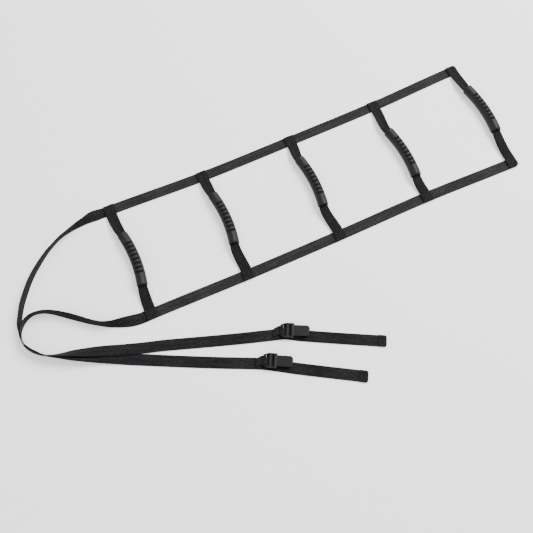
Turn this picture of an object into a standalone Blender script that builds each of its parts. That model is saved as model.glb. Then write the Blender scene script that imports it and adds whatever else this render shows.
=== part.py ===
"""Webbing pull-up ladder: two flat rails, five rungs with moulded hand grips, two strap tails with buckles.

Frame: metres, +Z up, +X along the rails towards the end rung, +Y towards the left rail.
The origin is on the floor, under the middle of the ladder panel. The ladder lies flat on the floor.
"""

import math

import bmesh
import bpy
from mathutils import Matrix, Vector

GAP = 0.0003                      # left between pieces that touch

# Webbing
WEB_WIDTH = 0.025
WEB_THICK = 0.0015
HEM_THICK = 0.0030                # two layers, where a rung strap's end is folded under

# Ladder panel
RUNG_COUNT = 5
RUNG_PITCH = 0.2257
FIRST_RUNG_X = -0.4566
LEFT_RAIL_Y = (0.1360, 0.1278, 0.1284, 0.1310, 0.1405)        # rail's centre at each rung
RIGHT_RAIL_Y = (-0.1318, -0.1360, -0.1365, -0.1348, -0.1405)

# Hand grips, all from one mould
GRIP_LENGTH = 0.131               # along its chord
GRIP_RADIUS = 0.0121
GRIP_SAGITTA = 0.0070             # how far the grip bows towards the end rung
COLLAR_LENGTH = 0.0245            # plain part at each end
END_CHAMFER = 0.0018
RIB_COUNT = 7
GROOVE_DEPTH = 0.0020
BORE_HALF_WIDTH = 0.0112
BORE_HALF_HEIGHT = 0.0023
GRIP_SIDES = 16

# How each grip lies on its strap: middle's offset along X and Y, and its turn in degrees
GRIP_LIE = (
    (0.0124, -0.0025, 0.3),
    (0.0082, 0.0040, 0.9),
    (0.0030, 0.0050, 0.3),
    (0.0042, -0.0155, -1.6),
    (0.0094, 0.0105, -1.6),
)

# Rung strap inside the grip, where its edges are folded in
NECK_WIDTH = 0.0204
NECK_THICK = 0.0026
BEND_START = 0.0040               # from a rail's inner edge to where the rung strap starts to bend

# Routes of the two tail straps: x, y, roll in degrees. Roll 0 lies flat and 90 stands on edge.
LEFT_TAIL = (
    (-0.4694, 0.1360, 0),
    (-0.4750, 0.1360, 3),
    (-0.4808, 0.1360, 8),
    (-0.4988, 0.1331, 44),
    (-0.5148, 0.1297, 71),
    (-0.5318, 0.1268, 82),
    (-0.5538, 0.1216, 95),
    (-0.5788, 0.1140, 101),
    (-0.5998, 0.1030, 101),
    (-0.6198, 0.0905, 97),
    (-0.6498, 0.0655, 92),
    (-0.6708, 0.0440, 89),
    (-0.6878, 0.0215, 87),
    (-0.7028, -0.0010, 87),
    (-0.7143, -0.0250, 89),
    (-0.7223, -0.0430, 93),
    (-0.7264, -0.0600, 104),
    (-0.7276, -0.0743, 105),
    (-0.7244, -0.0900, 100),
    (-0.7150, -0.1050, 99),
    (-0.7035, -0.1172, 93),
    (-0.6916, -0.1271, 84),
    (-0.6783, -0.1346, 76),
    (-0.6634, -0.1422, 67),
    (-0.6416, -0.1530, 51),
    (-0.6190, -0.1630, 35),
    (-0.5964, -0.1730, 18),
    (-0.5742, -0.1838, 7),
    (-0.5524, -0.1950, 2),
    (-0.5299, -0.2070, 0),
    (-0.4957, -0.2241, 0),
    (-0.4388, -0.2530, 0),
    (-0.3637, -0.2902, 0),
    (-0.2874, -0.3270, 0),
    (-0.2558, -0.3460, 0),
    (-0.2198, -0.3690, 0),
    (-0.1799, -0.3933, 0),
    (-0.1438, -0.4150, 0),
    (-0.1078, -0.4367, 0),
    (-0.0943, -0.4449, 0),
)
RIGHT_TAIL = (
    (-0.4694, -0.1318, 0),
    (-0.4750, -0.1318, 1),
    (-0.4808, -0.1318, 3),
    (-0.4998, -0.1298, 19),
    (-0.5168, -0.1266, 40),
    (-0.5328, -0.1231, 59),
    (-0.5478, -0.1180, 70),
    (-0.5638, -0.1095, 77),
    (-0.5818, -0.0965, 74),
    (-0.5993, -0.0820, 70),
    (-0.6168, -0.0675, 69),
    (-0.6343, -0.0540, 73),
    (-0.6518, -0.0418, 80),
    (-0.6693, -0.0337, 89),
    (-0.6893, -0.0307, 95),
    (-0.7058, -0.0364, 95),
    (-0.7168, -0.0467, 97),
    (-0.7235, -0.0600, 103),
    (-0.7249, -0.0738, 105),
    (-0.7223, -0.0889, 100),
    (-0.7132, -0.1036, 98),
    (-0.7019, -0.1155, 93),
    (-0.6903, -0.1252, 83),
    (-0.6770, -0.1321, 74),
    (-0.6616, -0.1380, 64),
    (-0.6385, -0.1445, 49),
    (-0.6156, -0.1525, 35),
    (-0.5925, -0.1605, 22),
    (-0.5694, -0.1690, 11),
    (-0.5461, -0.1778, 8),
    (-0.5219, -0.1862, 7),
    (-0.4980, -0.1945, 4),
    (-0.4718, -0.2025, 1),
    (-0.4453, -0.2112, 0),
    (-0.3746, -0.2362, 0),
    (-0.3040, -0.2605, 0),
    (-0.2522, -0.2775, 0),
    (-0.2182, -0.2886, 0),
    (-0.2042, -0.2955, 0),
    (-0.1779, -0.3112, 0),
    (-0.1048, -0.3510, 0),
    (-0.0238, -0.3943, 0),
)
ROUTE_STEP = 0.005                # between two stations of a tail's solid

# Buckles, in their own frame: +X towards the strap's free end, Z from the top of the strap under them
BUCKLE_LEFT = (-0.2763, -0.3247, -28.0)     # x and y of the anchor bar's axis, and heading in degrees
BUCKLE_RIGHT = (-0.2165, -0.2814, -26.7)
AXLE_Z = 0.0038                   # anchor bar's axis above the strap
BAR_RADIUS = 0.0017
TAB_OUTER_RADIUS = 0.0035
TAB_HALF_WIDTH = 0.0093
TAB_REACH = 0.0175                # sewn part, away from the buckle
TAB_LOOP_END = 0.0065             # where the loop round the anchor bar ends and the sewn part starts
TAB_SKEW = 0.55                   # how far the sewn part turns towards the middle of the strap, per length
FRAME_HALF_WIDTH = 0.0153
FRAME_BACK_HALF_WIDTH = 0.0118
WALL_INSIDE = 0.0124
WALL_INSIDE_BACK = 0.0100
FRAME_CORNER = 0.0080             # where the walls start to close in towards the anchor bar
FRAME_FRONT = 0.0264
FRAME_TOP = 0.0102
FRAME_CHAMFER = 0.0020
HUMP = (0.0090, 0.0168, 0.0055, 0.0098)     # middle bar: from x, to x, from z, to z
BASE = (0.0038, 0.0264, 0.0003, 0.0014)     # plate that the cam presses the strap on
PIN_X = 0.0230
PIN_Z = 0.0074
PIN_RADIUS = 0.0014
BARREL_RADIUS = 0.0038
CAM_RADIUS = 0.0056
FLAP_START = 0.0245
FLAP_END = 0.0600
FLAP_HALF_WIDTH = 0.0114
FLAP_BOTTOM = 0.0056
FLAP_TOP = 0.0098
ROUND_SIDES = 16

FOLD_Z = WEB_THICK                # the rails fold about their top face


def rung_x(number):
    return FIRST_RUNG_X + RUNG_PITCH * (number - 1)


def fold_x(number):
    """Middle of the bay between a rung and the next one."""
    return rung_x(number) + RUNG_PITCH / 2


def clear_scene():
    for item in list(bpy.data.objects):
        bpy.data.objects.remove(item, do_unlink=True)


def make_material(name, colour, roughness, metallic=0.0):
    material = bpy.data.materials.new(name)
    material.use_nodes = True
    shader = material.node_tree.nodes["Principled BSDF"]
    shader.inputs["Base Color"].default_value = (*colour, 1.0)
    shader.inputs["Roughness"].default_value = roughness
    shader.inputs["Metallic"].default_value = metallic
    return material


def make_object(name, verts, faces, material, origin=Vector((0, 0, 0)), parent=None):
    """Closed mesh given in its parent's frame, with its own origin at the given point."""
    mesh = bpy.data.meshes.new(name)
    mesh.from_pydata([Vector(v) - origin for v in verts], [], faces)
    builder = bmesh.new()
    builder.from_mesh(mesh)
    bmesh.ops.recalc_face_normals(builder, faces=builder.faces)
    builder.to_mesh(mesh)
    builder.free()
    mesh.materials.append(material)
    item = bpy.data.objects.new(name, mesh)
    item.location = origin
    item.parent = parent
    bpy.context.collection.objects.link(item)
    return item


def shade_smooth(item, angle=40):
    item.data.shade_smooth()
    item.data.set_sharp_from_angle(angle=math.radians(angle))


def make_empty(name, location, heading=0.0, parent=None):
    item = bpy.data.objects.new(name, None)
    item.empty_display_size = 0.02
    item.location = location
    item.rotation_euler = (0, 0, heading)
    item.parent = parent
    bpy.context.collection.objects.link(item)
    return item


def catmull(p0, p1, p2, p3, t):
    """Point on the smooth curve between p1 and p2."""
    return 0.5 * (2 * p1 + (p2 - p0) * t + (2 * p0 - 5 * p1 + 4 * p2 - p3) * t ** 2
                  + (3 * p1 - p0 - 3 * p2 + p3) * t ** 3)


def smooth_points(points, per_span=8):
    """Points of a smooth curve through the given ones."""
    spots = [Vector(p) for p in points]
    spots = [2 * spots[0] - spots[1]] + spots + [2 * spots[-1] - spots[-2]]
    result = []
    for i in range(1, len(spots) - 2):
        for k in range(per_span):
            result.append(catmull(spots[i - 1], spots[i], spots[i + 1], spots[i + 2], k / per_span))
    result.append(spots[-2])
    return result


def even_points(points, step):
    """The same curve with stations an even distance apart on the floor."""
    lengths = [0.0]
    for a, b in zip(points, points[1:]):
        lengths.append(lengths[-1] + (b.xy - a.xy).length)
    count = round(lengths[-1] / step)
    result = []
    i = 0
    for k in range(count + 1):
        target = lengths[-1] * k / count
        while i < len(points) - 2 and lengths[i + 1] < target:
            i += 1
        share = (target - lengths[i]) / (lengths[i + 1] - lengths[i])
        result.append(points[i].lerp(points[i + 1], share))
    return result


def ribbon(name, stations, material, **place):
    """Closed strap of oblong section. A station is centre, width direction, normal, width, thickness."""
    verts = []
    faces = []
    for centre, across, normal, width, thick in stations:
        side = across * (width / 2)
        up = normal * (thick / 2)
        verts += [centre - side - up, centre + side - up, centre + side + up, centre - side + up]
    for k in range(len(stations) - 1):
        a = 4 * k
        for j in range(4):
            n = (j + 1) % 4
            faces.append((a + j, a + n, a + 4 + n, a + 4 + j))
    last = 4 * (len(stations) - 1)
    faces += [(3, 2, 1, 0), (last, last + 1, last + 2, last + 3)]
    return make_object(name, verts, faces, material, **place)


# ---------------------------------------------------------------- rails

def rail_y(offsets, x):
    """Centre line of a rail that runs smoothly through its offset at each rung."""
    place = (x - FIRST_RUNG_X) / RUNG_PITCH
    i = min(max(int(place), 0), RUNG_COUNT - 2)
    t = min(max(place - i, 0.0), 1.0)
    before = offsets[max(i - 1, 0)]
    after = offsets[min(i + 2, RUNG_COUNT - 1)]
    return catmull(before, offsets[i], offsets[i + 1], after, t)


def rail_span(number):
    """Where the rails of one section start and end along X."""
    start = rung_x(1) - WEB_WIDTH / 2 if number == 1 else fold_x(number - 1) + GAP / 2
    end = rung_x(RUNG_COUNT) + WEB_WIDTH / 2 if number == RUNG_COUNT else fold_x(number) - GAP / 2
    return start, end


def make_rail(name, offsets, number, material, **place):
    start, end = rail_span(number)
    count = 6
    stations = []
    for k in range(count + 1):
        x = start + (end - start) * k / count
        centre = Vector((x, rail_y(offsets, x), WEB_THICK / 2))
        stations.append((centre, Vector((0, 1, 0)), Vector((0, 0, 1)), WEB_WIDTH, WEB_THICK))
    return ribbon(name, stations, material, **place)


# ---------------------------------------------------------------- rungs

ARC_RADIUS = GRIP_LENGTH ** 2 / (8 * GRIP_SAGITTA) + GRIP_SAGITTA / 2
ARC_HALF_ANGLE = math.asin(GRIP_LENGTH / 2 / ARC_RADIUS)
GRIP_Z = GRIP_RADIUS


def grip_matrix(number):
    """Place of a grip: its arc's middle, with the chord along Y and the bow towards +X."""
    shift_x, shift_y, turn = GRIP_LIE[number - 1]
    spot = Vector((rung_x(number) + shift_x, shift_y, GRIP_Z))
    return Matrix.Translation(spot) @ Matrix.Rotation(math.radians(-turn), 4, "Z")


def arc_frame(angle):
    """Point on the grip's centre line, the way it bows, and the way it runs, before it is placed."""
    outward = Vector((math.cos(angle), math.sin(angle), 0))
    along = Vector((-math.sin(angle), math.cos(angle), 0))
    return outward * ARC_RADIUS - Vector((ARC_RADIUS, 0, 0)), outward, along


def hermite(a, slope_a, b, slope_b, t):
    return (a * (2 * t ** 3 - 3 * t ** 2 + 1) + slope_a * (t ** 3 - 2 * t ** 2 + t)
            + b * (3 * t ** 2 - 2 * t ** 3) + slope_b * (t ** 3 - t ** 2))


def strap_half(number, rail_centre, side):
    """Stations of a rung strap from one rail to its grip. side is 1 for the left rail, -1 for the right."""
    up = Vector((0, 0, 1))
    sewn_z = WEB_THICK + GAP + HEM_THICK / 2
    outer = rail_centre + side * WEB_WIDTH / 2
    inner = rail_centre - side * WEB_WIDTH / 2
    across = Vector((1, 0, 0))
    stations = [(Vector((rung_x(number), outer, sewn_z)), across, up, WEB_WIDTH, HEM_THICK),
                (Vector((rung_x(number), inner, sewn_z)), across, up, WEB_WIDTH, HEM_THICK)]
    place = grip_matrix(number)
    point, _, along = arc_frame(side * ARC_HALF_ANGLE)
    end = place @ point
    heading = (place.to_3x3() @ along) * -side
    leave = Vector((rung_x(number), inner - side * BEND_START, WEB_THICK + GAP + WEB_THICK / 2))
    reach = abs(end.y - leave.y)
    for t in (0.0, 0.3, 0.6, 1.0):
        centre = hermite(leave, Vector((0, -side * reach, 0)), end, heading * reach, t)
        ahead = hermite(leave, Vector((0, -side * reach, 0)), end, heading * reach, t + 0.01)
        run = (ahead - centre).normalized()
        across = Vector((run.y, -run.x, 0)).normalized() * -side
        width = WEB_WIDTH + (NECK_WIDTH - WEB_WIDTH) * t ** 2
        thick = WEB_THICK + (NECK_THICK - WEB_THICK) * t
        stations.append((centre, across, up, width, thick))
    return stations


def make_rung_strap(name, number, left_y, right_y, material, **place):
    left = strap_half(number, left_y, 1)
    right = strap_half(number, right_y, -1)
    turn = grip_matrix(number)
    middle = []
    count = 8
    for k in range(1, count):
        angle = ARC_HALF_ANGLE * (1 - 2 * k / count)
        point, outward, _ = arc_frame(angle)
        centre = turn @ point
        middle.append((centre, turn.to_3x3() @ outward, Vector((0, 0, 1)), NECK_WIDTH, NECK_THICK))
    return ribbon(name, left + middle + right[::-1], material, **place)


def grip_profile():
    """Distance along the grip and share of the groove's depth, from one end to the other."""
    half = ARC_RADIUS * ARC_HALF_ANGLE
    pitch = 2 * (half - COLLAR_LENGTH) / (RIB_COUNT + 1)
    lip = pitch * 0.26
    spots = [(-half, 1.0), (-half + END_CHAMFER, 0.0)]
    for k in range(RIB_COUNT + 1):
        middle = -half + COLLAR_LENGTH + pitch * (k + 0.5)
        spots += [(middle - lip, 0.0), (middle, 1.0), (middle + lip, 0.0)]
    return spots + [(half - END_CHAMFER, 0.0), (half, 1.0)]


def rib_fade(across):
    """Share of a groove's depth at a place across the grip, from -1 on its hollow side to 1."""
    return min(max((across + 0.70) / 0.16, 0.0), max((0.98 - across) / 0.26, 0.0), 1.0)


def make_grip(name, number, material, **place):
    """Banana grip with an oblong bore for the webbing. The ribs cross its upper and lower faces."""
    turn = grip_matrix(number)
    profile = grip_profile()
    verts = []
    faces = []

    def ring(along_grip, radii):
        point, outward, _ = arc_frame(along_grip / ARC_RADIUS)
        for j in range(GRIP_SIDES):
            angle = 2 * math.pi * (j + 0.5) / GRIP_SIDES
            across, up = radii(angle)
            verts.append(turn @ (point + outward * across + Vector((0, 0, up))))

    def outside(depth_share, at_end):
        def radii(angle):
            fade = 1.0 if at_end else rib_fade(math.cos(angle))
            radius = GRIP_RADIUS - GROOVE_DEPTH * depth_share * fade
            return radius * math.cos(angle), radius * math.sin(angle)
        return radii

    def bore(angle):
        flat = BORE_HALF_WIDTH - BORE_HALF_HEIGHT
        shift = flat * max(-1.0, min(1.0, 2.2 * math.cos(angle)))
        return (shift + BORE_HALF_HEIGHT * math.cos(angle), BORE_HALF_HEIGHT * math.sin(angle))

    for k, (along_grip, share) in enumerate(profile):
        ring(along_grip, outside(share, k in (0, len(profile) - 1)))
    bore_count = 9
    for k in range(bore_count):
        ring(profile[-1][0] * (1 - 2 * k / (bore_count - 1)), bore)
    rings = len(profile) + bore_count
    for k in range(rings):
        a = k * GRIP_SIDES
        b = (k + 1) % rings * GRIP_SIDES
        for j in range(GRIP_SIDES):
            n = (j + 1) % GRIP_SIDES
            faces.append((a + j, a + n, b + n, b + j))
    item = make_object(name, verts, faces, material, **place)
    shade_smooth(item)
    return item


# ---------------------------------------------------------------- tail straps

def make_tail(name, route, material):
    """Flat strap that lies on the floor, or stands on its inner edge where it is rolled."""
    points = even_points(smooth_points(route), ROUTE_STEP)
    stations = []
    for k, point in enumerate(points):
        ahead = points[min(k + 1, len(points) - 1)]
        behind = points[max(k - 1, 0)]
        along = Vector((ahead.x - behind.x, ahead.y - behind.y, 0)).normalized()
        outward = Vector((along.y, -along.x, 0))
        roll = math.radians(point.z)
        across = outward * math.cos(roll) + Vector((0, 0, math.sin(roll)))
        normal = Vector((0, 0, math.cos(roll))) - outward * math.sin(roll)
        height = abs(math.sin(roll)) * WEB_WIDTH / 2 + abs(math.cos(roll)) * WEB_THICK / 2
        stations.append((Vector((point.x, point.y, height)), across, normal, WEB_WIDTH, WEB_THICK))
    return ribbon(name, stations, material)


# ---------------------------------------------------------------- buckles

def box_mesh(low, high):
    builder = bmesh.new()
    size = [top - bottom for bottom, top in zip(low, high)]
    middle = [(top + bottom) / 2 for bottom, top in zip(low, high)]
    bmesh.ops.create_cube(builder, size=1.0, matrix=Matrix.Translation(middle) @ Matrix.Diagonal((*size, 1)))
    return builder


def extruded_mesh(outline, half_width):
    """Solid from an outline in the XZ plane, extruded both ways along Y."""
    builder = bmesh.new()
    near = [builder.verts.new((x, -half_width, z)) for x, z in outline]
    far = [builder.verts.new((x, half_width, z)) for x, z in outline]
    builder.faces.new(near)
    builder.faces.new(far[::-1])
    for k in range(len(outline)):
        n = (k + 1) % len(outline)
        builder.faces.new((near[k], far[k], far[n], near[n]))
    bmesh.ops.recalc_face_normals(builder, faces=builder.faces)
    return builder


def circle(centre_x, centre_z, radius, start=0, end=360, count=ROUND_SIDES):
    """Points on an arc in the XZ plane, between two angles in degrees."""
    whole = end - start == 360
    steps = count if whole else count - 1
    return [(centre_x + radius * math.cos(math.radians(start + (end - start) * k / steps)),
             centre_z + radius * math.sin(math.radians(start + (end - start) * k / steps)))
            for k in range(count)]


def helper(builder, name):
    mesh = bpy.data.meshes.new(name)
    builder.to_mesh(mesh)
    builder.free()
    item = bpy.data.objects.new(name, mesh)
    bpy.context.collection.objects.link(item)
    return item


def combine(name, body, additions, cuts, material, origin, parent):
    """One solid: the body with the additions joined on and the cuts taken out."""
    base = helper(body, name + "_base")
    others = []
    for operation, builders in (("UNION", additions), ("DIFFERENCE", cuts)):
        for builder in builders:
            other = helper(builder, name + "_tool")
            modifier = base.modifiers.new("step", "BOOLEAN")
            modifier.operation = operation
            modifier.solver = "EXACT"
            modifier.object = other
            others.append(other)
    graph = bpy.context.evaluated_depsgraph_get()
    mesh = bpy.data.meshes.new_from_object(base.evaluated_get(graph))
    for item in others + [base]:
        bpy.data.objects.remove(item, do_unlink=True)
    mesh.transform(Matrix.Translation(-origin))
    mesh.materials.clear()
    mesh.materials.append(material)
    mesh.name = name
    item = bpy.data.objects.new(name, mesh)
    item.location = origin
    item.parent = parent
    bpy.context.collection.objects.link(item)
    shade_smooth(item)
    return item


def wall_outline():
    """Side of the buckle's frame: round at the anchor bar, chamfered at the front."""
    low = AXLE_Z - TAB_OUTER_RADIUS
    back = circle(0, AXLE_Z, TAB_OUTER_RADIUS, 270, 125, 9)
    return back + [(FRAME_CORNER, FRAME_TOP), (FRAME_FRONT - FRAME_CHAMFER, FRAME_TOP),
                   (FRAME_FRONT, FRAME_TOP - FRAME_CHAMFER), (FRAME_FRONT, low)]


def close_in(builder, side, front_y, back_y):
    """Bend a wall's face inwards behind the frame's corner."""
    parts = builder.verts[:] + builder.edges[:] + builder.faces[:]
    bmesh.ops.bisect_plane(builder, geom=parts, plane_co=(FRAME_CORNER, 0, 0), plane_no=(1, 0, 0))
    for vert in builder.verts:
        if vert.co.x < FRAME_CORNER - 1e-6 and abs(vert.co.y - side * front_y) < 1e-6:
            share = (FRAME_CORNER - vert.co.x) / (FRAME_CORNER + TAB_OUTER_RADIUS)
            vert.co.y = side * (front_y + (back_y - front_y) * share)


def make_frame(name, material, origin, parent):
    """Two side walls joined by the anchor bar, the middle bar and the base plate, drilled for the pin."""
    wall_half = (FRAME_HALF_WIDTH - WALL_INSIDE) / 2
    walls = []
    for side in (-1, 1):
        wall = extruded_mesh(wall_outline(), wall_half)
        bmesh.ops.translate(wall, verts=wall.verts, vec=(0, side * (WALL_INSIDE + wall_half), 0))
        close_in(wall, side, FRAME_HALF_WIDTH, FRAME_BACK_HALF_WIDTH)
        close_in(wall, side, WALL_INSIDE, WALL_INSIDE_BACK)
        walls.append(wall)
    join = WALL_INSIDE + wall_half
    bar = extruded_mesh(circle(0, AXLE_Z, BAR_RADIUS, count=12), WALL_INSIDE_BACK + 0.001)
    start, end, low, high = HUMP
    chamfer = 0.0016
    hump = extruded_mesh([(start, low), (end, low), (end, high - chamfer), (end - chamfer, high),
                          (start + chamfer, high), (start, high - chamfer)], join)
    base = box_mesh((BASE[0], -WALL_INSIDE - 0.0005, BASE[2]), (BASE[1], WALL_INSIDE + 0.0005, BASE[3]))
    drill = extruded_mesh(circle(PIN_X, PIN_Z, PIN_RADIUS + GAP, count=12), 2 * FRAME_HALF_WIDTH)
    return combine(name, walls[0], [bar, hump, base, walls[1]], [drill], material, origin, parent)


def make_lever(name, material, origin, parent):
    """Barrel round the pin with the cam under it, and a flap to lift."""
    barrel_half = WALL_INSIDE - 0.0004
    barrel = circle(PIN_X, PIN_Z, BARREL_RADIUS, -30, 210, 13)
    cam = circle(PIN_X, PIN_Z, CAM_RADIUS, 240, 285, 4)
    knuckle = extruded_mesh(barrel + cam, barrel_half)
    chamfer = 0.0008
    flap = extruded_mesh([(FLAP_START, FLAP_BOTTOM), (FLAP_END - 0.001, FLAP_BOTTOM),
                          (FLAP_END, FLAP_BOTTOM + chamfer), (FLAP_END - 0.0012, FLAP_TOP - chamfer),
                          (FLAP_END - 0.003, FLAP_TOP), (FLAP_START, FLAP_TOP)], FLAP_HALF_WIDTH)
    corner = 0.0045
    corners = []
    for side in (-1, 1):
        cutter = bmesh.new()
        cut = [(FLAP_END - corner, side * FLAP_HALF_WIDTH), (FLAP_END + corner, side * FLAP_HALF_WIDTH),
               (FLAP_END + corner, side * (FLAP_HALF_WIDTH + corner)),
               (FLAP_END - corner, side * (FLAP_HALF_WIDTH + corner))]
        turn = Matrix.Rotation(math.radians(-45 * side), 4, "Z")
        pivot = Vector((FLAP_END - corner, side * FLAP_HALF_WIDTH, 0))
        near = [cutter.verts.new(pivot + turn @ (Vector((x, y, 0)) - pivot)) for x, y in cut]
        top = [cutter.verts.new(v.co + Vector((0, 0, 0.02))) for v in near]
        cutter.faces.new(near)
        cutter.faces.new(top[::-1])
        for k in range(4):
            n = (k + 1) % 4
            cutter.faces.new((near[k], top[k], top[n], near[n]))
        bmesh.ops.recalc_face_normals(cutter, faces=cutter.faces)
        corners.append(cutter)
    drill = extruded_mesh(circle(PIN_X, PIN_Z, PIN_RADIUS + GAP, count=12), 2 * barrel_half)
    return combine(name, knuckle, [flap], [drill] + corners, material, origin, parent)


def make_pin(name, material, parent):
    origin = Vector((PIN_X, 0, PIN_Z - AXLE_Z))
    builder = extruded_mesh(circle(PIN_X, PIN_Z - AXLE_Z, PIN_RADIUS, count=12), FRAME_HALF_WIDTH)
    bmesh.ops.translate(builder, verts=builder.verts, vec=-origin)
    item = helper(builder, name)
    item.data.materials.append(material)
    item.location = origin
    item.parent = parent
    shade_smooth(item)
    return item


def make_tab(name, material, parent):
    """Short webbing loop round the anchor bar, folded back on itself and sewn down on the tail strap."""
    low = AXLE_Z - TAB_OUTER_RADIUS
    high = low + 2 * WEB_THICK
    outer = []
    inner = []
    bend_count = 16
    for k in range(bend_count):
        angle = math.radians(-120 + 240 * k / (bend_count - 1))
        outer.append((TAB_OUTER_RADIUS * math.cos(angle), TAB_OUTER_RADIUS * math.sin(angle)))
        inner.append(angle)
    outer += [(-TAB_LOOP_END, high - AXLE_Z), (-TAB_REACH, high - AXLE_Z), (-TAB_REACH, low - AXLE_Z),
              (-0.0040, low - AXLE_Z)]
    inner += [math.radians(a) for a in (150, 174, 186, 210)]
    count = len(outer)
    hole = BAR_RADIUS + GAP
    verts = []
    faces = []
    for y in (-TAB_HALF_WIDTH, TAB_HALF_WIDTH):
        verts += [(x, y + TAB_SKEW * min(x + TAB_LOOP_END, 0), z) for x, z in outer]
        verts += [(hole * math.cos(a), y, hole * math.sin(a)) for a in inner]
    for k in range(count):
        n = (k + 1) % count
        faces.append((k, n, count + n, count + k))
        faces.append((2 * count + k, 3 * count + k, 3 * count + n, 2 * count + n))
        faces.append((k, 2 * count + k, 2 * count + n, n))
        faces.append((count + k, count + n, 3 * count + n, 3 * count + k))
    item = make_object(name, verts, faces, material, parent=parent)
    shade_smooth(item)
    return item


def make_buckle(side, place, materials):
    """The buckle on one tail: its tab stays on the strap, the frame swings on the tab, the lever opens."""
    x, y, heading = place
    anchor = make_empty(side + "_buckle_axis", (x, y, WEB_THICK + AXLE_Z), math.radians(heading))
    lever_axis = make_empty(side + "_lever_axis", (PIN_X, 0, PIN_Z - AXLE_Z), 0.0, anchor)
    lift = Vector((0, 0, AXLE_Z))
    make_tab(side + "_buckle_tab", materials["tab"], anchor)
    frame = make_frame(side + "_buckle_frame", materials["frame"], lift, anchor)
    frame.location = (0, 0, 0)
    lever = make_lever(side + "_buckle_lever", materials["lever"], Vector((PIN_X, 0, PIN_Z)), lever_axis)
    lever.location = (0, 0, 0)
    make_pin(side + "_lever_pin", materials["pin"], anchor)


# ---------------------------------------------------------------- assembly

def main():
    clear_scene()
    black = (0.016, 0.016, 0.018)
    rail_material = make_material("rail_webbing", (0.022, 0.022, 0.024), 0.85)
    tail_material = make_material("tail_webbing", (0.020, 0.020, 0.022), 0.85)
    rung_material = make_material("rung_webbing", black, 0.9)
    grip_material = make_material("grip_rubber", (0.03, 0.03, 0.032), 0.45)
    buckle_materials = {
        "tab": make_material("tab_webbing", black, 0.9),
        "frame": make_material("frame_plastic", (0.025, 0.025, 0.027), 0.4),
        "lever": make_material("lever_plastic", (0.035, 0.035, 0.037), 0.4),
        "pin": make_material("pin_steel", (0.5, 0.5, 0.5), 0.35, 1.0),
    }
    for number in range(1, RUNG_COUNT + 1):
        place = {}
        if number > 1:
            axis = make_empty(f"fold_{number - 1}_axis", (fold_x(number - 1), 0, FOLD_Z))
            place = {"origin": Vector(axis.location)}
        left_y = LEFT_RAIL_Y[number - 1]
        right_y = RIGHT_RAIL_Y[number - 1]
        make_rail(f"left_rail_{number}", LEFT_RAIL_Y, number, rail_material, **place)
        make_rail(f"right_rail_{number}", RIGHT_RAIL_Y, number, rail_material, **place)
        make_rung_strap(f"rung_strap_{number}", number, left_y, right_y, rung_material, **place)
        make_grip(f"grip_{number}", number, grip_material, **place)
    make_tail("left_tail_strap", LEFT_TAIL, tail_material)
    make_tail("right_tail_strap", RIGHT_TAIL, tail_material)
    make_buckle("left", BUCKLE_LEFT, buckle_materials)
    make_buckle("right", BUCKLE_RIGHT, buckle_materials)


main()
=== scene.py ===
import math

import bmesh
import bpy
from mathutils import Matrix, Vector, noise


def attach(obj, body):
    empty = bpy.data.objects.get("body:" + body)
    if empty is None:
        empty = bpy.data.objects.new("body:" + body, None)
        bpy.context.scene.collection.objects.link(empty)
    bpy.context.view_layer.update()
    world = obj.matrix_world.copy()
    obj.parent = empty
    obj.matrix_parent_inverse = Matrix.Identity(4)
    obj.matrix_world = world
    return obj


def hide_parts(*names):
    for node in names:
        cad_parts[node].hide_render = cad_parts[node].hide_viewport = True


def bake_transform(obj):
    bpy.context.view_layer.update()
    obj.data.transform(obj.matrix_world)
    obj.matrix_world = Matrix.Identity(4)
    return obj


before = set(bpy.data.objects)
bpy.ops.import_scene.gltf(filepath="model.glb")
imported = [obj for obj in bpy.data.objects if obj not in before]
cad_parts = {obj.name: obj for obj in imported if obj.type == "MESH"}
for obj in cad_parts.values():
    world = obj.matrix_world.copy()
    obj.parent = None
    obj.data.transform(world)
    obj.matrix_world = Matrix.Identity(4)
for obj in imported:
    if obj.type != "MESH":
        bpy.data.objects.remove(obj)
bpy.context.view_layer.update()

# Webbing pull-up ladder, laid out on a pale floor. Metres, +Z up, +X along the rails towards the end rung.
# Every strap is one ribbon swept along its own line, with coordinates along and across it for the weave.

WEB_WIDTH = 0.025
WEB_THICK = 0.0015
GAP = 0.0003

RUNG_COUNT = 5
RUNG_PITCH = 0.2257
FIRST_RUNG_X = -0.4566
LEFT_RAIL_Y = (0.1360, 0.1278, 0.1284, 0.1310, 0.1405)
RIGHT_RAIL_Y = (-0.1318, -0.1360, -0.1365, -0.1348, -0.1405)

GRIP_LENGTH = 0.131
GRIP_RADIUS = 0.0121
GRIP_SAGITTA = 0.0070
COLLAR_LENGTH = 0.0245
RIB_COUNT = 7
GROOVE_DEPTH = 0.0022
GRIP_LIE = (                        # middle's offset along X and Y, and turn in degrees
    (0.0124, -0.0025, 0.3),
    (0.0082, 0.0040, 0.9),
    (0.0030, 0.0050, 0.3),
    (0.0042, -0.0155, -1.6),
    (0.0094, 0.0105, -1.6),
)
NECK_WIDTH = 0.0204
NECK_THICK = 0.0026
BORE_FLAT = 0.0084                  # from the bore's middle to where its round ends start
BORE_HALF_HEIGHT = 0.0023
END_ROUNDING = 0.0026

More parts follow.
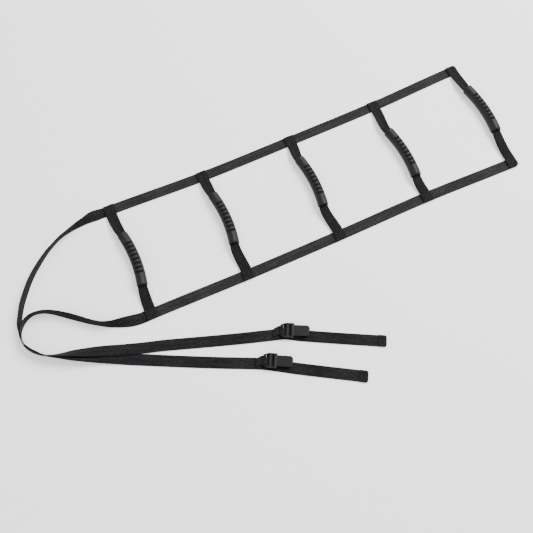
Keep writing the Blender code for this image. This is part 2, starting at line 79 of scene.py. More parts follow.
BUCKLE_PLACES = {                   # anchor bar's x and y, and heading in degrees
    "left": (-0.2763, -0.3247, -28.0),
    "right": (-0.2165, -0.2814, -26.7),
}
AXLE_Z = 0.0038                     # anchor bar's axis above the strap
PIN_X = 0.0230
PIN_Z = 0.0074
TAB_WIDTH = 0.0192
TAB_REACH = 0.0175                  # sewn part's end, away from the anchor bar
TAB_LOOP_END = 0.0065               # where the loop round the bar ends and the sewn part starts
TAB_SKEW = 0.55                     # how far the sewn part turns towards the strap's middle, per length
TAB_OUTER_RADIUS = 0.0035
TAB_LOOP_FOOT = 0.0035              # where the lower layer meets the loop, before the anchor bar
TAB_NECK = (-0.0047, -0.0006)       # point where the loop comes down on the lower layer: x and z
TAB_TOP_START = 0.0068              # where the upper layer starts to lie flat
TAB_SEAMS = (-0.0090, -0.0120, -0.0150)
TAB_SEAM_REACH = 0.0072             # half a seam's length

# Routes of the two free tails: x, y, roll in degrees (0 lies flat, 90 stands on edge)
LEFT_TAIL = (
    (-0.4610, 0.1360, 0), (-0.4694, 0.1360, 0), (-0.4750, 0.1360, 3), (-0.4808, 0.1360, 8),
    (-0.4988, 0.1331, 44), (-0.5148, 0.1297, 71), (-0.5318, 0.1268, 82), (-0.5538, 0.1216, 95),
    (-0.5788, 0.1140, 101), (-0.5998, 0.1030, 101), (-0.6198, 0.0905, 97), (-0.6498, 0.0655, 92),
    (-0.6708, 0.0440, 89), (-0.6878, 0.0215, 87), (-0.7028, -0.0010, 87), (-0.7143, -0.0250, 89),
    (-0.7223, -0.0430, 93), (-0.7264, -0.0600, 104), (-0.7276, -0.0743, 105), (-0.7244, -0.0900, 100),
    (-0.7150, -0.1050, 99), (-0.7035, -0.1172, 93), (-0.6916, -0.1271, 84), (-0.6783, -0.1346, 76),
    (-0.6634, -0.1422, 67), (-0.6416, -0.1530, 51), (-0.6190, -0.1630, 35), (-0.5964, -0.1730, 18),
    (-0.5742, -0.1838, 7), (-0.5524, -0.1950, 2), (-0.5299, -0.2070, 0), (-0.4957, -0.2241, 0),
    (-0.4388, -0.2530, 0), (-0.3637, -0.2902, 0), (-0.2874, -0.3270, 0), (-0.2558, -0.3460, 0),
    (-0.2198, -0.3690, 0), (-0.1799, -0.3933, 0), (-0.1438, -0.4150, 0), (-0.1078, -0.4367, 0),
    (-0.0943, -0.4449, 0),
)
RIGHT_TAIL = (
    (-0.4610, -0.1318, 0), (-0.4694, -0.1318, 0), (-0.4750, -0.1318, 1), (-0.4808, -0.1318, 3),
    (-0.4998, -0.1298, 19), (-0.5168, -0.1266, 40), (-0.5328, -0.1231, 59), (-0.5478, -0.1180, 70),
    (-0.5638, -0.1095, 77), (-0.5818, -0.0965, 74), (-0.5993, -0.0820, 70), (-0.6168, -0.0675, 69),
    (-0.6343, -0.0540, 73), (-0.6518, -0.0418, 80), (-0.6693, -0.0337, 89), (-0.6893, -0.0307, 95),
    (-0.7058, -0.0364, 95), (-0.7168, -0.0467, 97), (-0.7235, -0.0600, 103), (-0.7249, -0.0738, 105),
    (-0.7223, -0.0889, 100), (-0.7132, -0.1036, 98), (-0.7019, -0.1155, 93), (-0.6903, -0.1252, 83),
    (-0.6770, -0.1321, 74), (-0.6616, -0.1380, 64), (-0.6385, -0.1445, 49), (-0.6156, -0.1525, 35),
    (-0.5925, -0.1605, 22), (-0.5694, -0.1690, 11), (-0.5461, -0.1778, 8), (-0.5219, -0.1862, 7),
    (-0.4980, -0.1945, 4), (-0.4718, -0.2025, 1), (-0.4453, -0.2112, 0), (-0.3746, -0.2362, 0),
    (-0.3040, -0.2605, 0), (-0.2522, -0.2775, 0), (-0.2182, -0.2886, 0), (-0.2042, -0.2955, 0),
    (-0.1779, -0.3112, 0), (-0.1048, -0.3510, 0), (-0.0238, -0.3943, 0),
)
LEFT_TAIL_LENGTH = 1.115
RIGHT_TAIL_LENGTH = 1.104

PANEL_CORNER = 0.0085               # radius of the panel's outer corners at the end rung
HEM_CORNER = 0.0048                 # and of the corners of the tails' hemmed ends
HEM_LENGTH = 0.017
HEM_SPREAD = 0.0009                 # how much wider the folded-back end lies
HEM_SEAMS = (0.0035, 0.0135)        # the two seams' distances from the tip
HEM_SEAM_REACH = 0.0105             # half a seam's length
SEAM_X = -0.4610                    # where rails and tails meet, under the first rung
TAIL_STEP = 0.0045                  # between two stations of a tail

ROW_PITCH = 0.00125                 # weave: from one row of yarn to the next
PICK_PITCH = 0.0026                 # and from one float to the next along a row
FINE_GRAIN = 3800.0                 # moulded plastic's grains per metre
STITCH_LENGTH = 0.0024
STITCH_PITCH = 0.0031
THREAD_WIDTH = 0.00075
THREAD_LIFT = 0.0001                # stitches' middle above the surface they are sewn on

UP = Vector((0, 0, 1))


# ---------------------------------------------------------------- materials

class Graph:
    """Small helper that adds nodes to a material and links them."""

    def __init__(self, name):
        self.material = bpy.data.materials.new(name)
        self.material.use_nodes = True
        self.tree = self.material.node_tree
        self.shader = self.tree.nodes["Principled BSDF"]

    def add(self, kind, inputs=(), **settings):
        item = self.tree.nodes.new(kind)
        for key, value in settings.items():
            setattr(item, key, value)
        for key, value in dict(inputs).items():
            self.feed(item.inputs[key], value)
        return item

    def feed(self, socket, value):
        if isinstance(value, bpy.types.NodeSocket):
            self.tree.links.new(value, socket)
        else:
            socket.default_value = value

    def math(self, operation, a, b=0.0, clamp=False):
        item = self.add("ShaderNodeMath", {0: a, 1: b}, operation=operation, use_clamp=clamp)
        return item.outputs[0]

    def noise(self, vector, scale, detail=2.0, roughness=0.5):
        item = self.add("ShaderNodeTexNoise", {"Vector": vector, "Scale": scale, "Detail": detail,
                                               "Roughness": roughness})
        return item.outputs["Fac"]

    def remap(self, value, low, high, to_low, to_high):
        item = self.add("ShaderNodeMapRange", {0: value, 1: low, 2: high, 3: to_low, 4: to_high})
        return item.outputs[0]

    def tint(self, colour, factor):
        """The colour times a number."""
        item = self.add("ShaderNodeVectorMath", operation="SCALE")
        item.inputs[0].default_value = colour
        self.feed(item.inputs["Scale"], factor)
        return item.outputs[0]

    def bump(self, height, distance, strength=1.0, below=None):
        inputs = {"Height": height, "Distance": distance, "Strength": strength}
        if below is not None:
            inputs["Normal"] = below
        return self.add("ShaderNodeBump", inputs).outputs[0]

    def finish(self, colour, roughness, normal, **constants):
        self.feed(self.shader.inputs["Base Color"], colour)
        self.feed(self.shader.inputs["Roughness"], roughness)
        self.feed(self.shader.inputs["Normal"], normal)
        for key, value in constants.items():
            self.shader.inputs[key.replace("_", " ")].default_value = value
        return self.material


def webbing(name, colour, sheen, shine):
    """Woven strap: rows of yarn along it, each row's floats half a pick behind its neighbour's."""
    g = Graph(name)
    place = g.add("ShaderNodeAttribute", attribute_name="strap").outputs["Vector"]
    split = g.add("ShaderNodeSeparateXYZ", {0: place})
    along, across = split.outputs[0], split.outputs[1]
    row = g.math("MULTIPLY", across, 1 / ROW_PITCH)
    row_number = g.math("FLOOR", row)
    row_middle = g.math("SINE", g.math("MULTIPLY", g.math("FRACT", row), math.pi))
    shift = g.math("MULTIPLY", g.math("FLOORED_MODULO", row_number, 2.0), 0.5)
    pick = g.math("ADD", g.math("MULTIPLY", along, 1 / PICK_PITCH), shift)
    pick_middle = g.math("SINE", g.math("MULTIPLY", g.math("FRACT", pick), math.pi))
    weave = g.math("MULTIPLY", row_middle, g.math("ADD", g.math("MULTIPLY", pick_middle, 0.6), 0.4))
    stretched = g.add("ShaderNodeCombineXYZ", {0: g.math("MULTIPLY", along, 14.0),
                                               1: g.math("MULTIPLY", across, 150.0)}).outputs[0]
    streaks = g.noise(stretched, 1.0, 3.0, 0.6)
    cloud = g.noise(place, 22.0, 3.0)
    fuzz = g.noise(place, 230.0, 2.0)
    yarn = g.noise(place, 1400.0, 2.0)
    shade = g.math("MULTIPLY", g.remap(streaks, 0.3, 0.7, 0.66, 1.34), g.remap(cloud, 0.3, 0.7, 0.82, 1.18))
    shade = g.math("MULTIPLY", shade, g.remap(fuzz, 0.3, 0.7, 0.62, 1.38))
    # painted shade and highlight: the colour follows the weave's bump height, darkened to 0.55 in the
    # hollows between floats and lightened to 1.15 on their tops
    shade = g.math("MULTIPLY", shade, g.remap(weave, 0.0, 1.0, 0.55, 1.15))
    shade = g.math("MULTIPLY", shade, g.remap(yarn, 0.3, 0.7, 0.85, 1.15))
    height = g.math("ADD", weave, g.math("MULTIPLY", yarn, 0.25))
    normal = g.bump(height, 0.00028, 0.8)
    roughness = g.remap(cloud, 0.3, 0.7, 0.76, 0.88)
    return g.finish(g.tint(colour, shade), roughness, normal, Sheen_Weight=sheen, Sheen_Roughness=0.45,
                    Specular_IOR_Level=shine)


def moulded(name, colour, rough):
    """Moulded plastic: fine grain, faint mottling, slightly polished in places."""
    g = Graph(name)
    place = g.add("ShaderNodeTexCoord").outputs["Object"]
    grains = g.noise(place, FINE_GRAIN, 2.0)
    cloud = g.noise(place, 45.0, 3.0)
    shade = g.remap(cloud, 0.3, 0.7, 0.88, 1.12)
    normal = g.bump(grains, 0.00002, 0.6)
    roughness = g.remap(cloud, 0.3, 0.7, rough - 0.05, rough + 0.07)
    return g.finish(g.tint(colour, shade), roughness, normal, Specular_IOR_Level=0.24)


def lever_material(name, colour, rough, place):
    """Moulded lever whose barrel round the pin is worn smooth, with a painted highlight. Its flap stays
    matt.
    """
    g = Graph(name)
    spot = g.add("ShaderNodeTexCoord").outputs["Object"]
    axis = place @ Vector((PIN_X, 0, PIN_Z - AXLE_Z))
    offset = g.add("ShaderNodeVectorMath", {0: spot, 1: axis}, operation="SUBTRACT").outputs[0]
    ahead = g.add("ShaderNodeVectorMath", {0: offset, 1: place.to_3x3() @ Vector((1, 0, 0))},
                  operation="DOT_PRODUCT").outputs["Value"]
    above = g.add("ShaderNodeSeparateXYZ", {0: offset}).outputs[2]
    squares = g.math("ADD", g.math("MULTIPLY", ahead, ahead), g.math("MULTIPLY", above, above))
    barrel = g.remap(g.math("SQRT", squares), 0.0040, 0.0046, 1.0, 0.0)
    grains = g.noise(spot, FINE_GRAIN, 2.0)
    cloud = g.noise(spot, 45.0, 3.0)
    # painted highlight: the barrel's colour is made up to three times lighter than the flap's
    shade = g.math("MULTIPLY", g.remap(cloud, 0.3, 0.7, 0.88, 1.12), g.remap(barrel, 0.0, 1.0, 1.0, 3.0))
    plain = g.remap(cloud, 0.3, 0.7, rough - 0.05, rough + 0.07)
    roughness = g.math("SUBTRACT", plain, g.math("MULTIPLY", barrel, 0.24))
    return g.finish(g.tint(colour, shade), roughness, g.bump(grains, 0.00002, 0.5), Specular_IOR_Level=0.18)


def grip_material(name, colour, rough):
    """Rubber polished by hands on its ribs. Its grooves are matt, and their colour is darkened as painted
    shade.
    """
    g = Graph(name)
    place = g.add("ShaderNodeTexCoord").outputs["Object"]
    groove_matt_and_shade = g.add("ShaderNodeAttribute", attribute_name="groove_matt_and_shade").outputs["Fac"]
    grains = g.noise(place, 1100.0, 2.0)
    cloud = g.noise(place, 45.0, 3.0)
    # painted shade: the grooves' colour falls to 0.3 of the ribs'
    shade = g.math("MULTIPLY", g.remap(cloud, 0.3, 0.7, 0.88, 1.12), g.remap(groove_matt_and_shade, 0.0, 1.0, 1.0, 0.3))
    polished = g.remap(cloud, 0.3, 0.7, rough - 0.05, rough + 0.06)
    roughness = g.math("ADD", polished, g.math("MULTIPLY", groove_matt_and_shade, 0.4))
    return g.finish(g.tint(colour, shade), roughness, g.bump(grains, 0.00004, 0.6), Specular_IOR_Level=0.16)


def thread(name, colour):
    g = Graph(name)
    place = g.add("ShaderNodeTexCoord").outputs["Object"]
    twist = g.add("ShaderNodeTexWave", {"Vector": place, "Scale": 900.0, "Distortion": 1.0}).outputs["Fac"]
    return g.finish(g.tint(colour, g.remap(twist, 0.0, 1.0, 0.75, 1.2)), 0.55, g.bump(twist, 0.00005, 0.5))


def steel(name):
    g = Graph(name)
    place = g.add("ShaderNodeTexCoord").outputs["Object"]
    scratches = g.noise(place, 600.0, 4.0)
    normal = g.bump(scratches, 0.00003, 0.4)
    return g.finish(g.tint((0.52, 0.52, 0.53), g.remap(scratches, 0.3, 0.7, 0.85, 1.1)), 0.32, normal,
                    Metallic=1.0)


def floor_material():
    g = Graph("pale_floor")
    place = g.add("ShaderNodeTexCoord").outputs["Object"]
    cloud = g.noise(place, 3.0, 3.0)
    return g.finish(g.tint((0.9, 0.9, 0.9), g.remap(cloud, 0.3, 0.7, 0.995, 1.005)), 0.9,
                    g.bump(g.noise(place, 400.0), 0.0001, 0.1), Specular_IOR_Level=0.2,
                    Emission_Color=(1, 1, 1, 1), Emission_Strength=0.60)


# ---------------------------------------------------------------- lines and surfaces

def catmull(p0, p1, p2, p3, t):
    return 0.5 * (2 * p1 + (p2 - p0) * t + (2 * p0 - 5 * p1 + 4 * p2 - p3) * t ** 2
                  + (3 * p1 - p0 - 3 * p2 + p3) * t ** 3)


def smooth_points(points, per_span=8):
    """Points along a smooth curve through the given ones."""
    spots = [Vector(p) for p in points]
    spots = [2 * spots[0] - spots[1]] + spots + [2 * spots[-1] - spots[-2]]
    result = []
    for i in range(1, len(spots) - 2):
        for k in range(per_span):
            result.append(catmull(spots[i - 1], spots[i], spots[i + 1], spots[i + 2], k / per_span))
    result.append(spots[-2])
    return result


def even_points(points, step):
    """Points at even steps along a line, measured on the floor."""
    lengths = [0.0]
    for a, b in zip(points, points[1:]):
        lengths.append(lengths[-1] + (b.xy - a.xy).length)
    count = round(lengths[-1] / step)
    result = []
    i = 0
    for k in range(count + 1):
        target = lengths[-1] * k / count
        while i < len(points) - 2 and lengths[i + 1] < target:
            i += 1
        share = (target - lengths[i]) / (lengths[i + 1] - lengths[i])
        result.append(points[i].lerp(points[i + 1], share))
    return result


def hermite(a, slope_a, b, slope_b, t):
    """Point on the curve that leaves a and reaches b with the given slopes."""
    return (a * (2 * t ** 3 - 3 * t ** 2 + 1) + slope_a * (t ** 3 - 2 * t ** 2 + t)
            + b * (3 * t ** 2 - 2 * t ** 3) + slope_b * (t ** 3 - t ** 2))


def new_piece(name, builder, material, smooth_angle=None):
    mesh = bpy.data.meshes.new(name)
    builder.to_mesh(mesh)
    builder.free()
    mesh.materials.append(material)
    item = bpy.data.objects.new(name, mesh)
    bpy.context.scene.collection.objects.link(item)
    if smooth_angle:
        mesh.shade_smooth()
        mesh.set_sharp_from_angle(angle=math.radians(smooth_angle))
    return item


ACROSS = 8                          # divisions across a strap


def strap_ring(width, thick, cup):
    """Section of a strap with rounded edges: (across, up) from left over the top and back underneath."""
    half = width / 2
    lip = min(thick * 0.45, 0.0008)
    flat = half - lip
    top = [(-flat + 2 * flat * k / ACROSS, thick / 2) for k in range(ACROSS + 1)]
    side = [(half - lip * 0.3, thick * 0.3), (half, 0.0), (half - lip * 0.3, -thick * 0.3)]
    ring = top + side + [(a, -u) for a, u in reversed(top)] + [(-a, -u) for a, u in side]
    return [(a, u + cup * (a / half) ** 2) for a, u in ring]


def sweep(name, stations, material, start=0.0):
    """Strap through stations of (centre, across, normal, width, thick, cup).

    start is the distance along the strap at which its weave begins.
    """
    builder = bmesh.new()
    layer = builder.verts.layers.float_vector.new("strap")
    rings = []
    along = start
    before = None
    for centre, across, normal, width, thick, cup in stations:
        if before is not None:
            along += (centre - before).length
        before = centre
        ring = []
        for a, u in strap_ring(width, thick, cup):
            vert = builder.verts.new(centre + across * a + normal * u)
            vert[layer] = Vector((along, a, 0))
            ring.append(vert)
        rings.append(ring)
    size = len(rings[0])
    for low, high in zip(rings, rings[1:]):
        for j in range(size):
            n = (j + 1) % size
            builder.faces.new((low[j], low[n], high[n], high[j]))
    builder.faces.new(rings[0])
    builder.faces.new(rings[-1][::-1])
    bmesh.ops.recalc_face_normals(builder, faces=builder.faces)
    return new_piece(name, builder, material, 50)


def stitches(name, rows, material):
    """Thread showing on a strap. A row is two end points and the surface's normal there."""
    builder = bmesh.new()
    for start, end, normal in rows:
        run = end - start
        count = max(1, round(run.length / STITCH_PITCH))
        along = run.normalized()
        side = normal.cross(along)
        turn = Matrix((along, side, normal)).transposed().to_4x4()
        for k in range(count):
            spot = start + run * ((k + 0.5) / count)
            size = Matrix.Diagonal((STITCH_LENGTH / 2, THREAD_WIDTH / 2, THREAD_WIDTH * 0.42, 1))
            bmesh.ops.create_uvsphere(builder, u_segments=7, v_segments=4, radius=1.0,
                                      matrix=Matrix.Translation(spot) @ turn @ size)
    return new_piece(name, builder, material, 80)


# ---------------------------------------------------------------- ladder panel

def rung_x(number):
    return FIRST_RUNG_X + RUNG_PITCH * (number - 1)


def rail_y(offsets, x):
    place = (x - FIRST_RUNG_X) / RUNG_PITCH
    i = min(max(int(place), 0), RUNG_COUNT - 2)
    t = min(max(place - i, 0.0), 1.0)
    before = offsets[max(i - 1, 0)]
    after = offsets[min(i + 2, RUNG_COUNT - 1)]
    return catmull(before, offsets[i], offsets[i + 1], after, t)


def corner_cut(left, radius=PANEL_CORNER):
    """How much a rounded corner takes off a strap's edge at a distance from its end."""
    if left >= radius:
        return 0.0
    return radius - math.sqrt(radius ** 2 - (radius - max(left, 0.0)) ** 2)


def make_rail(side, offsets, number, material):
    """Rail from one rung to the next one."""
    start = rung_x(number) if number > 1 else SEAM_X
    end = rung_x(number + 1) if number < RUNG_COUNT - 1 else rung_x(RUNG_COUNT) + WEB_WIDTH / 2
    count = 44
    spots = [start + (end - start) * k / count for k in range(count + 1)]
    last = number == RUNG_COUNT - 1
    if last:
        spots = [x for x in spots if x < end - PANEL_CORNER - 0.0001]
        spots += [end - PANEL_CORNER * (1 - math.sin(math.pi * k / 16)) for k in range(9)]
    outward = 1 if offsets[0] > 0 else -1
    stations = []
    for x in spots:
        ahead = rail_y(offsets, x + 0.001) - rail_y(offsets, x - 0.001)
        across = Vector((-ahead, 0.002, 0)).normalized()
        wave = noise.noise(Vector((x * 30, offsets[0] * 50, 0)))
        centre = Vector((x, rail_y(offsets, x), WEB_THICK / 2))
        cut = corner_cut(end - x) if last else 0.0
        centre -= across * (outward * cut / 2)
        stations.append((centre, across, UP, WEB_WIDTH * (1 + 0.006 * wave) - cut, WEB_THICK, 0.0))
    rail = sweep(f"{side}_rail_webbing_{number}", stations, material, start)
    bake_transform(rail)
    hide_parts(f"{side}_rail_{number}", f"{side}_rail_{number + 1}")
    return rail


ARC_RADIUS = GRIP_LENGTH ** 2 / (8 * GRIP_SAGITTA) + GRIP_SAGITTA / 2
ARC_HALF_ANGLE = math.asin(GRIP_LENGTH / 2 / ARC_RADIUS)


def grip_matrix(number):
    shift_x, shift_y, turn = GRIP_LIE[number - 1]
    spot = Vector((rung_x(number) + shift_x, shift_y, GRIP_RADIUS))
    return Matrix.Translation(spot) @ Matrix.Rotation(math.radians(-turn), 4, "Z")


def arc_frame(angle):
    """Point on a grip's centre line, the way it bows, and the way it runs."""
    outward = Vector((math.cos(angle), math.sin(angle), 0))
    along = Vector((-math.sin(angle), math.cos(angle), 0))
    return outward * ARC_RADIUS - Vector((ARC_RADIUS, 0, 0)), outward, along


def strap_half(number, rail_centre, side):
    """Rung strap from its folded-under end on a rail to the mouth of the grip."""
    across = Vector((side, 0, 0))
    x = rung_x(number)
    inner = rail_centre - side * WEB_WIDTH / 2
    outer = rail_centre + side * WEB_WIDTH / 2
    low = WEB_THICK + GAP + WEB_THICK / 2
    high = low + WEB_THICK
    radius = WEB_THICK / 2
    stations = []
    lower_end = inner + side * 0.0015
    turn_at = outer - side * WEB_THICK
    shares = (0.0, 0.35, 0.62, 0.70, 0.78, 0.85, 0.91, 0.96, 0.985, 1.0)

    def add(centre, normal, width, thick):
        cut = corner_cut(abs(outer - centre.y)) if number == RUNG_COUNT else 0.0
        stations.append((centre - Vector((cut / 2, 0, 0)), across, normal, width - cut, thick, 0.0))

    for share in shares:
        y = lower_end + (turn_at - lower_end) * share
        add(Vector((x, y, low)), UP, WEB_WIDTH - 0.0006, WEB_THICK)
    for k in range(1, 6):
        angle = math.pi * k / 6
        outward = Vector((0, side * math.sin(angle), -math.cos(angle)))
        centre = Vector((x, turn_at, low + radius)) + outward * radius
        add(centre, -outward, WEB_WIDTH - 0.0003, WEB_THICK * 0.98)
    for share in shares[::-1]:
        y = inner + (turn_at - inner) * share
        add(Vector((x, y, high)), -UP, WEB_WIDTH, WEB_THICK)
    place = grip_matrix(number)
    point, _, along = arc_frame(side * ARC_HALF_ANGLE)
    end = place @ point
    heading = (place.to_3x3() @ along) * -side
    leave = Vector((x, inner - side * 0.001, high))
    reach = abs(end.y - leave.y)
    count = 16
    for k in range(1, count + 1):
        t = k / count
        spot = hermite(leave, Vector((0, -side * reach, 0)), end, heading * reach, t)
        ahead = hermite(leave, Vector((0, -side * reach, 0)), end, heading * reach, t + 0.01)
        run = (ahead - spot).normalized()
        flat = Vector((run.y, -run.x, 0)).normalized() * -1
        normal = flat.cross(run)
        width = WEB_WIDTH + (NECK_WIDTH - WEB_WIDTH) * t ** 2.2
        thick = WEB_THICK + (NECK_THICK - WEB_THICK) * t ** 3
        stations.append((spot, flat, normal, width, thick, -side * 0.0016 * math.sin(math.pi * t)))
    return stations


def make_rung_strap(number, left_y, right_y, material):
    left = strap_half(number, left_y, 1)
    right = strap_half(number, right_y, -1)
    turn = grip_matrix(number)
    middle = []
    count = 12
    for k in range(1, count):
        point, outward, _ = arc_frame(ARC_HALF_ANGLE * (1 - 2 * k / count))
        middle.append((turn @ point, turn.to_3x3() @ outward, -UP, NECK_WIDTH, NECK_THICK, 0.0))
    strap = sweep(f"rung_webbing_{number}", left + middle + right[::-1], material)
    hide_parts(f"rung_strap_{number}")
    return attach(strap, f"section_{number}")


def rung_stitching(number, rail_centre, side, material):
    """Box with a cross, sewn through the folded end and the rail."""
    z = WEB_THICK + GAP + 2 * WEB_THICK + THREAD_LIFT
    half_x = WEB_WIDTH / 2 - 0.0032
    half_y = WEB_WIDTH / 2 - 0.0034
    x = rung_x(number)
    corners = [Vector((x + a * half_x, rail_centre + b * half_y, z))
               for a, b in ((-1, -1), (1, -1), (1, 1), (-1, 1))]
    rows = [(corners[k], corners[(k + 1) % 4], UP) for k in range(4)]
    rows += [(corners[0], corners[2], UP), (corners[1], corners[3], UP)]
    sewn = stitches(f"{side}_stitching_{number}", rows, material)
    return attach(sewn, f"section_{number}")


def groove(distance, pitch):
    """Depth of the groove at a distance from its middle, 0 to 1. Its floor is flat, its edges rounded."""
    share = min(max((pitch * 0.31 - abs(distance)) / (pitch * 0.18), 0.0), 1.0)
    return share * share * (3 - 2 * share)


def rib_fade(across):
    """Share of a groove's depth at a place across the grip, from -1 on its hollow side to 1."""
    rise = min(max((across + 0.72) / 0.16, 0.0), 1.0)
    fall = min(max((0.98 - across) / 0.26, 0.0), 1.0)
    share = min(rise, fall)
    return share * share * (3 - 2 * share)


def make_grip(number, material):
    """Banana grip. Ribs cross its upper and lower faces; rounded ends, oblong bore."""
    sides = 56
    half = ARC_RADIUS * ARC_HALF_ANGLE
    pitch = 2 * (half - COLLAR_LENGTH) / (RIB_COUNT + 1)
    grooves = [-half + COLLAR_LENGTH + pitch * (k + 0.5) for k in range(RIB_COUNT + 1)]
    turn = grip_matrix(number)
    builder = bmesh.new()
    # groove depth share, used by the grip material for matt grooves and painted shade in them
    layer = builder.verts.layers.float.new("groove_matt_and_shade")
    rings = []

    def ring(along_grip, radii):
        point, outward, _ = arc_frame(along_grip / ARC_RADIUS)
        loop = []
        for j in range(sides):
            across, up, groove_matt_and_shade = radii(2 * math.pi * (j + 0.5) / sides)
            vert = builder.verts.new(turn @ (point + outward * across + UP * up))
            vert[layer] = groove_matt_and_shade
            loop.append(vert)
        rings.append(loop)

    def outside(along_grip):
        depth = sum(groove(along_grip - g, pitch) for g in grooves)
        left = half - abs(along_grip)
        shrink = 0.0
        if left < END_ROUNDING:
            shrink = END_ROUNDING - math.sqrt(max(END_ROUNDING ** 2 - (END_ROUNDING - left) ** 2, 0.0))

        def radii(angle):
            fade = rib_fade(math.cos(angle))
            radius = GRIP_RADIUS - GROOVE_DEPTH * depth * fade - shrink
            return radius * math.cos(angle), radius * math.sin(angle), depth * fade
        return radii

    def bore(scale):
        def radii(angle):
            shift = BORE_FLAT * max(-1.0, min(1.0, 2.2 * math.cos(angle)))
            height = BORE_HALF_HEIGHT * scale
            return shift + height * math.cos(angle), height * math.sin(angle), 0.0
        return radii

    count = 150
    for k in range(count + 1):
        share = k / count
        place = -half * math.cos(math.pi * share) * 0.12 + (-half + 2 * half * share) * 0.88
        ring(place, outside(place))
    inner = 10
    for k in range(inner + 1):
        place = half * (1 - 2 * k / inner)
        flare = 1.35 if k in (0, inner) else 1.0
        ring(place * (1 - 1e-6), bore(flare))
    total = len(rings)
    for k in range(total):
        low, high = rings[k], rings[(k + 1) % total]
        for j in range(sides):
            n = (j + 1) % sides
            builder.faces.new((low[j], low[n], high[n], high[j]))
    bmesh.ops.recalc_face_normals(builder, faces=builder.faces)
    grip = new_piece(f"hand_grip_{number}", builder, material, 60)
    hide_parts(f"grip_{number}")
    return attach(grip, f"section_{number}")


# ---------------------------------------------------------------- tails and buckles

def tail_stations(route):
    points = even_points(smooth_points(route), TAIL_STEP)
    stations = []
    for k, point in enumerate(points):
        ahead = points[min(k + 1, len(points) - 1)]
        behind = points[max(k - 1, 0)]
        along = Vector((ahead.x - behind.x, ahead.y - behind.y, 0)).normalized()
        outward = Vector((along.y, -along.x, 0))
        roll = math.radians(point.z)
        across = outward * math.cos(roll) + UP * math.sin(roll)
        normal = UP * math.cos(roll) - outward * math.sin(roll)
        height = abs(math.sin(roll)) * WEB_WIDTH / 2 + abs(math.cos(roll)) * WEB_THICK / 2
        stations.append((Vector((point.x, point.y, height)), across, normal, WEB_WIDTH, WEB_THICK, 0.0))
    return stations


def make_tail(side, route, material, thread_material):
    """Free tail with its end folded back on top and sewn down."""
    stations = tail_stations(route)
    path = [s[0].copy() for s in stations]
    end, across, normal, _, _, _ = stations[-1]
    along = (stations[-1][0] - stations[-2][0]).normalized()
    radius = WEB_THICK / 2

    def hem_width(left):
        return WEB_WIDTH - 2 * corner_cut(left, HEM_CORNER)

    corner_spots = (0.0040, 0.0030, 0.0020, 0.0012, 0.0005, 0.0)
    stations.pop()
    for back in corner_spots:
        stations.append((end - along * back, across, normal, hem_width(back + WEB_THICK), WEB_THICK, 0.0))
    for k in range(1, 6):
        angle = math.pi * k / 6
        outward = along * math.sin(angle) - UP * math.cos(angle)
        spot = end + UP * radius + outward * radius
        width = hem_width(WEB_THICK * (1 - math.sin(angle)))
        stations.append((spot, across, -outward, width, WEB_THICK * 0.98, 0.0))
    for back in corner_spots[::-1] + (HEM_LENGTH / 2, HEM_LENGTH):
        spot = end + UP * WEB_THICK - along * back
        stations.append((spot, across, -UP, hem_width(back + WEB_THICK) + HEM_SPREAD, WEB_THICK, 0.0))
    tail = sweep(f"{side}_tail_webbing", stations, material, SEAM_X)
    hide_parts(f"{side}_tail_strap")
    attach(tail, "section_1")
    rows = []
    for back in HEM_SEAMS:
        middle = end + UP * (WEB_THICK * 1.5 + THREAD_LIFT) - along * back
        rows.append((middle - across * HEM_SEAM_REACH, middle + across * HEM_SEAM_REACH, UP))
    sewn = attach(stitches(f"{side}_hem_stitching", rows, thread_material), "section_1")
    return tail


def buckle_matrix(side):
    x, y, heading = BUCKLE_PLACES[side]
    return Matrix.Translation((x, y, WEB_THICK + AXLE_Z)) @ Matrix.Rotation(math.radians(heading), 4, "Z")


def make_tab(side, material, thread_material):
    """Webbing loop round the buckle's anchor bar, sewn down on the tail."""
    place = buckle_matrix(side)
    bend = TAB_OUTER_RADIUS - WEB_THICK / 2
    low = -bend
    sewn_length = TAB_REACH - TAB_LOOP_END

    def spot(x, z):
        return Vector((x, TAB_SKEW * min(x + TAB_LOOP_END, 0), z))

    line = [spot(-TAB_REACH + sewn_length * k / 6, low) for k in range(7)] + [spot(-TAB_LOOP_FOOT, low)]
    for k in range(13):
        angle = math.radians(-90 + 225 * k / 12)
        line.append(Vector((bend * math.cos(angle), 0, bend * math.sin(angle))))
    top_length = TAB_REACH - TAB_TOP_START
    line += [spot(*TAB_NECK)]
    line += [spot(-TAB_TOP_START - top_length * k / 6, low + WEB_THICK) for k in range(7)]
    stations = []
    turn = place.to_3x3()
    for k, centre in enumerate(line):
        run = line[min(k + 1, len(line) - 1)] - line[max(k - 1, 0)]
        run = Vector((run.x, 0, run.z)).normalized()
        normal = Vector((-run.z, 0, run.x))
        across = turn @ Vector((0, 1, 0))
        stations.append((place @ centre, across, turn @ normal, TAB_WIDTH, WEB_THICK * 0.96, 0.0))
    tab = sweep(f"{side}_tab_webbing", stations, material)
    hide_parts(f"{side}_buckle_tab")
    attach(tab, "section_1")
    rows = []
    for x in TAB_SEAMS:
        middle = spot(x, low + WEB_THICK * 1.5 + THREAD_LIFT)
        reach = Vector((0, TAB_SEAM_REACH, 0))
        rows.append((place @ (middle - reach), place @ (middle + reach), UP))
    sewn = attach(stitches(f"{side}_tab_stitching", rows, thread_material), "section_1")
    return [tab, sewn]


def soften(item, width):
    """Rounded moulded edges and smooth round faces on a CAD node."""
    weld = item.modifiers.new("join_corners", "WELD")
    weld.merge_threshold = 0.000005
    bevel = item.modifiers.new("round_edges", "BEVEL")
    bevel.width = width
    bevel.segments = 3
    bevel.limit_method = "ANGLE"
    bevel.angle_limit = math.radians(38)
    shading = item.modifiers.new("even_shading", "WEIGHTED_NORMAL")
    shading.keep_sharp = False


# ---------------------------------------------------------------- surroundings

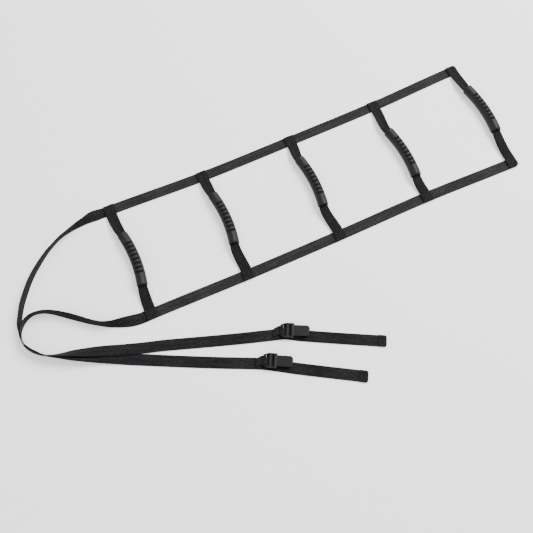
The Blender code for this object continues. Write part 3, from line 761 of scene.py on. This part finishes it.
def make_camera():
    camera = bpy.data.objects.new("camera", bpy.data.cameras.new("camera"))
    bpy.context.scene.collection.objects.link(camera)
    camera.data.sensor_width = 36
    camera.data.lens = 40.57
    camera.location = (-0.3622, -0.5237, 1.2632)
    target = Vector((-0.1859, -0.1357, 0.0))
    camera.rotation_euler = (target - camera.location).to_track_quat("-Z", "Y").to_euler()
    bpy.context.scene.camera = camera


def make_floor():
    builder = bmesh.new()
    bmesh.ops.create_grid(builder, x_segments=4, y_segments=4, size=20)
    floor = new_piece("floor", builder, floor_material())
    floor.location.z = -0.0006


def make_light(name, place, target, size, power):
    light = bpy.data.lights.new(name, "AREA")
    light.shape = "RECTANGLE"
    light.size, light.size_y = size
    light.energy = power
    item = bpy.data.objects.new(name, light)
    item.location = place
    item.rotation_euler = (Vector(target) - Vector(place)).to_track_quat("-Z", "Y").to_euler()
    bpy.context.scene.collection.objects.link(item)


def make_surroundings():
    make_floor()
    world = bpy.data.worlds.new("studio")
    world.use_nodes = True
    world.node_tree.nodes["Background"].inputs["Color"].default_value = (1, 1, 1, 1)
    world.node_tree.nodes["Background"].inputs["Strength"].default_value = 0.8
    bpy.context.scene.world = world
    make_light("key", (2.64, 0.91, 3.52), (-0.1, 0, 0), (2.3, 2.3), 375)
    make_light("fill", (-1.6, -1.0, 1.5), (-0.1, 0, 0), (1.5, 1.5), 6)


# ---------------------------------------------------------------- assembly

make_camera()

rail_webbing = webbing("rail_webbing_black", (0.0240, 0.0240, 0.0258), sheen=0.07, shine=0.06)
# painted shade: the tails carry on the rails' own webbing but get a darker colour
tail_webbing = webbing("tail_webbing_black", (0.0164, 0.0164, 0.0180), sheen=0.03, shine=0.02)
rung_webbing = webbing("rung_webbing_black", (0.0125, 0.0125, 0.0140), sheen=0.05, shine=0.05)
tab_webbing = webbing("tab_webbing_black", (0.0105, 0.0105, 0.0118), sheen=0.10, shine=0.08)
sewing_thread = thread("black_thread", (0.014, 0.014, 0.015))
grip_rubber = grip_material("grip_rubber_black", (0.0145, 0.0145, 0.0155), 0.49)
frame_plastic = moulded("buckle_frame_black", (0.0065, 0.0065, 0.0071), 0.45)
pin_steel = steel("pin_plain_steel")

for side, route, length in (("left", LEFT_TAIL, LEFT_TAIL_LENGTH), ("right", RIGHT_TAIL, RIGHT_TAIL_LENGTH)):
    nodes = [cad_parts[f"{side}_{part}"] for part in ("buckle_frame", "buckle_lever", "lever_pin")]
    lever_plastic = lever_material(f"{side}_buckle_lever_black", (0.0062, 0.0062, 0.0068), 0.50,
                                   buckle_matrix(side))
    for node, material in zip(nodes, (frame_plastic, lever_plastic, pin_steel)):
        node.data.materials.clear()
        node.data.materials.append(material)
    soften(nodes[0], 0.0005)
    soften(nodes[1], 0.0007)
    tab = make_tab(side, tab_webbing, sewing_thread)
    make_tail(side, route, tail_webbing, sewing_thread)

for number in range(1, RUNG_COUNT + 1):
    make_rung_strap(number, LEFT_RAIL_Y[number - 1], RIGHT_RAIL_Y[number - 1], rung_webbing)
    make_grip(number, grip_rubber)
    rung_stitching(number, LEFT_RAIL_Y[number - 1], "left", sewing_thread)
    rung_stitching(number, RIGHT_RAIL_Y[number - 1], "right", sewing_thread)
    if number < RUNG_COUNT:
        make_rail("left", LEFT_RAIL_Y, number, rail_webbing)
        make_rail("right", RIGHT_RAIL_Y, number, rail_webbing)

make_surroundings()
